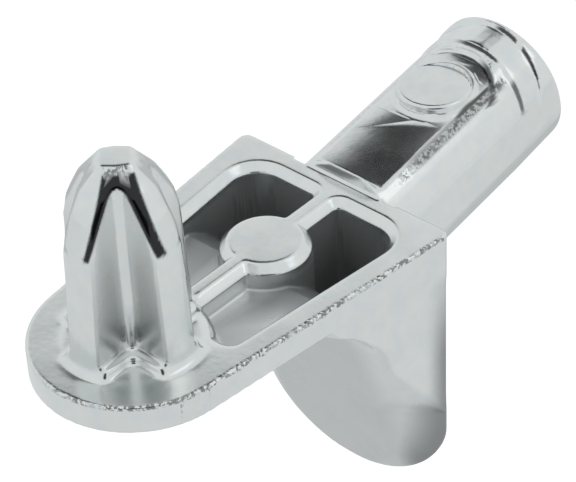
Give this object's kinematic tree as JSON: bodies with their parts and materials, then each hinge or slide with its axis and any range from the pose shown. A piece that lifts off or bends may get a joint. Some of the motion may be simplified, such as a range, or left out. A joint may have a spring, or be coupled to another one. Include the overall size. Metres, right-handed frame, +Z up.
{
  "type": "shelf support pin",
  "caption": "Cast metal shelf support with a round wall pin, a tapered plate with hollow pockets, an upright fluted locating peg and a rounded leg that bears on the wall.",
  "frame": {"origin": "where the axis of the wall pin crosses the wall plane", "axes": "+Y into the wall along the pin, square to the wall face; +Z up, square to the shelf face; +X across the part, which is the same on both sides"},
  "size_m": [0.0086, 0.0218, 0.0184],
  "materials": {
    "plated_zinc": "bright plating over a slightly uneven cast surface"
  },
  "bodies": {
    "root": {"body": "plated_zinc"}
  },
  "joints": []
}
